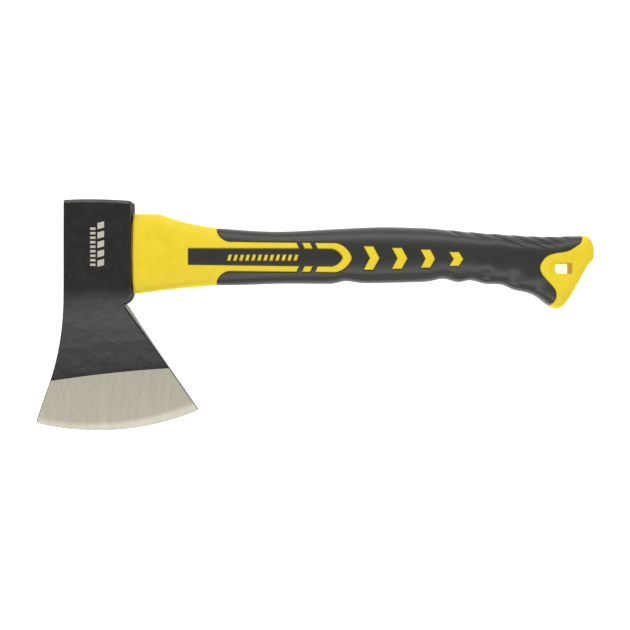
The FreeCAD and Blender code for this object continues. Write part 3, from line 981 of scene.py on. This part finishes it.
def finish_borders(outline):
    """Border of the paint and border of the honed bevel, in the side view."""
    xs = np.linspace(TOE_X + 0.05, HEEL_X - 0.05, 120)
    paint = np.column_stack([xs, grind_y(xs)])
    paint = paint[inside(outline, paint)]
    paint = np.vstack([paint[:1] - (1, 0), paint, paint[-1:] + (1, 0)])
    hone = np.column_stack([xs, edge_y(xs) + bevel_size(xs)[0]])
    return paint, hone[inside(outline, hone)]


class HeadSide:
    """Side view of the head as triangles, with the borders of its finishes as edges."""

    def __init__(self):
        poll, lug, back, edge, front = head_sides()
        self.outline = dense(poll + lug + back[1:] + edge + front, 0.8, closed=True)
        self.rim = closed_line(self.outline)
        self.near_poll = Nearness([poll])
        self.near_back = Nearness([back])
        self.near_rim = Nearness([self.rim])
        self.near_painted = Nearness([back, front])
        self.paint, self.hone = finish_borders(self.outline)
        self.marks = print_marks()
        mark_lines = [closed_line(dense(mark, 0.9, closed=True)) for mark in self.marks]
        points = np.vstack([self.spread_points(mark_lines)] + self.row_points())
        points = points[inside(self.outline, points)]
        lines = [self.rim, self.paint, self.hone] + mark_lines
        self.flat, self.faces = triangulate(points, lines,
                                            lambda centres: inside(self.outline, centres))

    def spread_points(self, mark_lines):
        """A staggered grid away from every line."""
        low, high = self.outline.min(0), self.outline.max(0)
        gx, gy = np.meshgrid(*(np.arange(low[k], high[k], HEAD_STEP) for k in (0, 1)))
        grid = np.column_stack([gx.ravel(), gy.ravel()])
        grid[:, 0] += 0.3 * HEAD_STEP * (np.round(grid[:, 1] / HEAD_STEP) % 2)
        near_lines = Nearness([self.paint] + mark_lines)
        grid = grid[(self.near_rim(grid) > RIM_ROWS[-1] + 0.2) & (near_lines(grid) > 0.5)]
        return grid[Nearness([self.hone])(grid) > HONE_ROWS[-1] + 0.3]

    def row_points(self):
        """Rows of points beside the borders and along the rim."""
        rows = [beside(self.paint, side * 0.2) for side in (1, -1)]
        rows += [beside(self.hone, side * offset) for side in (1, -1) for offset in HONE_ROWS]
        for offset in RIM_ROWS:
            row = beside(self.rim, -offset)
            rows.append(row[self.near_rim(row) > 0.9 * offset])
        return rows

    def half(self):
        """Half thickness at each point, with the rounded and chamfered edges."""
        half = plain_half(self.flat)
        from_poll = self.near_poll(self.flat)
        side = np.minimum(SIDE_ROUND, 0.45 * half)
        fall = np.maximum(rounding(from_poll, POLL_ROUND), rounding(self.near_rim(self.flat), side))
        poll_width, poll_slope = POLL_CHAMFER
        fall = np.maximum(fall, poll_slope * np.clip(poll_width - from_poll, 0.0, None))
        chamfer = np.maximum(sample(CHAMFER, self.flat[:, 1]), 1e-3)
        slope = np.minimum(0.8, 0.5 * half / chamfer)
        fall = np.maximum(fall, slope * np.clip(chamfer - self.near_back(self.flat), 0.0, None))
        return np.maximum(half - fall, EDGE_HALF * 0.5)

    def finishes(self):
        """Material of each face, on the printed side and on the plain one."""
        centres = self.flat[self.faces].mean(axis=1)
        x, y = centres[:, 0], centres[:, 1]
        plain = np.full(len(self.faces), LACQUER)
        plain[y < grind_y(x)] = GROUND
        plain[y < edge_y(x) + bevel_size(x)[0]] = HONED
        plain[(self.near_painted(centres) < PAINTED_RIM) & (y > edge_y(x) + 1.0)] = LACQUER
        printed = plain.copy()
        for mark in self.marks:
            printed[inside(mark, centres)] = PRINTED
        return printed, plain

    def walls(self, base):
        """Points, faces and materials of the walls from one side's rim to the other's."""
        count = len(self.flat)
        rim = sorted(open_edges(self.faces))
        ring = sorted({a for edge in rim for a in edge})
        made = between(base[ring], base[[a + count for a in ring]], WALL_ROWS)
        columns = {a: [a] + [2 * count + row * len(ring) + k for row in range(WALL_ROWS - 1)]
                   + [a + count] for k, a in enumerate(ring)}
        faces, kinds = [], []
        for a, b in rim:
            left, right = columns[a], columns[b]
            faces += [[right[row], left[row], left[row + 1], right[row + 1]]
                      for row in range(WALL_ROWS)]
            kinds += [wall_finish(*self.flat[[a, b]].mean(axis=0))] * WALL_ROWS
        return made, faces, kinds


def wall_finish(x, y):
    """Material of the head's wall: honed at the cutting edge, dull towards the handle."""
    if x > LUG[2][0] and LUG[2][1] < y < POLL_Y - POLL_FALL:
        return SCALE
    return HONED if y < edge_y(x) + 0.3 else LACQUER


def hollow(points):
    """The head's side wall drawn in a little behind the neck."""
    x, y = points[:, 0], points[:, 1]
    near_face = smoothstep(HEAD_RIGHT - 5, HEAD_RIGHT - 0.5, x)
    near_face *= smoothstep(LUG[2][1] - 2, LUG[1][1], y)
    bow = np.clip(1 - ((y - HOLLOW_MIDDLE_Y) / HOLLOW_REACH) ** 2, 0.0, 1.0)
    return points - np.column_stack([near_face * SIDE_HOLLOW * bow, 0 * x, 0 * x])


def eye_cutter():
    """Solid in the shape of the eye, wider at the far face."""
    rings = []
    for x in np.linspace(HEAD_LEFT - 2, HEAD_RIGHT + 2, 6):
        gap = np.interp(x, (HEAD_LEFT, HEAD_RIGHT), EYE_GAP[::-1])
        rings.append(oval(x, EYE_CENTRE_Y, TANG_HALF[0] + gap, TANG_HALF[1] + gap, EYE_POWER))
    points, faces = skin_rings(rings, closed=False)
    return mesh_object("eye_cutter", points, faces, [])


def cut_eye(head):
    """Take the eye out of the head."""
    cutter = eye_cutter()
    cut = head.modifiers.new("eye", "BOOLEAN")
    cut.operation = "DIFFERENCE"
    cut.object = cutter
    cut.solver = "EXACT"
    evaluated = head.evaluated_get(bpy.context.evaluated_depsgraph_get())
    mesh = bpy.data.meshes.new_from_object(evaluated)
    head.modifiers.clear()
    head.data = mesh
    bpy.data.objects.remove(cutter)


def build_head(materials):
    """The head as one closed mesh, mirrored about its middle plane and cut by the eye."""
    side = HeadSide()
    half = side.half()
    base = np.vstack([np.column_stack([side.flat, MID + half]),
                      np.column_stack([side.flat, MID - half])])
    wall_points, wall_faces, wall_kinds = side.walls(base)
    faces = np.vstack([side.faces, side.faces[:, ::-1] + len(side.flat)]).tolist() + wall_faces
    kinds = np.concatenate(side.finishes()).tolist() + wall_kinds
    points = hollow(np.vstack([base, wall_points]))
    head = mesh_object("head", points, faces, materials, kinds)
    cut_eye(head)
    head.data.set_sharp_from_angle(angle=SHARP_ANGLE)
    sharpen_paint_line(head.data)
    return head


def sharpen_paint_line(mesh):
    """Crisp shading where the lacquer ends."""
    painted = {}
    for polygon in mesh.polygons:
        for key in polygon.edge_keys:
            painted.setdefault(key, set()).add(polygon.material_index in (LACQUER, PRINTED, SCALE))
    for edge in mesh.edges:
        if len(painted[edge.key]) == 2:
            edge.use_edge_sharp = True


# ------------------------------ stage
def make_floor():
    bpy.ops.mesh.primitive_plane_add(size=40.0, location=(0.15, -0.04, 0.0))
    floor = bpy.context.object
    floor.name = "floor"
    surface = Surface("floor")
    surface.fill(surface.shader, {"Base Color": (0.93, 0.93, 0.93, 1.0), "Roughness": 0.9,
                                  "Specular IOR Level": 0.1, "Emission Color": (1.0, 1.0, 1.0, 1.0),
                                  "Emission Strength": 0.76}, {})
    floor.data.materials.append(surface.material)


def make_light(name, place_at, aim, size, power):
    data = bpy.data.lights.new(name, "AREA")
    data.shape = "RECTANGLE"
    data.size, data.size_y = size
    data.energy = power
    light = bpy.data.objects.new(name, data)
    light.location = place_at
    light.rotation_mode = "QUATERNION"
    light.rotation_quaternion = (Vector(aim) - Vector(place_at)).to_track_quat("-Z", "Y")
    bpy.context.scene.collection.objects.link(light)


def make_world():
    world = bpy.data.worlds.new("studio")
    world.use_nodes = True
    background = world.node_tree.nodes["Background"]
    background.inputs["Color"].default_value = (1.0, 1.0, 1.0, 1.0)
    background.inputs["Strength"].default_value = WORLD_LIGHT
    bpy.context.scene.world = world


def make_camera():
    data = bpy.data.cameras.new("camera")
    data.sensor_width = 36.0
    data.lens = data.sensor_width * CAMERA_DISTANCE / FIELD_WIDTH
    camera = bpy.data.objects.new("camera", data)
    camera.location = (CAMERA_X, CAMERA_Y, MID * MM + CAMERA_DISTANCE)
    bpy.context.scene.collection.objects.link(camera)
    bpy.context.scene.camera = camera


def studio():
    """Pale floor, a camera straight above, and soft light from all round."""
    make_floor()
    centre = Vector((CAMERA_X, CAMERA_Y, 0.0))
    for name, offset, size, power in LIGHTS:
        make_light(name, centre + Vector(offset), centre, size, power)
    make_world()
    make_camera()


bpy.context.scene.view_settings.view_transform = "Standard"
studio()
jacket, grip = build_handle(plastic_material(), rubber_material())
head = build_head([lacquer_material("lacquered_steel", 0.33, 0.42),
                   ground_material("ground_steel", (0.62, 0.58, 0.46), (0.44, 0.41, 0.33), 0.42),
                   ground_material("honed_steel", (0.50, 0.475, 0.39), (0.40, 0.38, 0.31), 0.42),
                   print_material(), lacquer_material("lacquered_scale", 0.85, 0.95)])
for piece, slot, node in ((jacket, "yellow_plastic", "handle_jacket"),
                          (grip, "black_rubber", "grip_overmould"),
                          (head, "lacquered_steel", "axe_head")):
    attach(piece, "root")
    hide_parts(node)
for node, material in (("eye_resin", resin_material()), ("fibreglass_core", fibreglass_material())):
    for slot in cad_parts[node].material_slots:
        slot.material = material
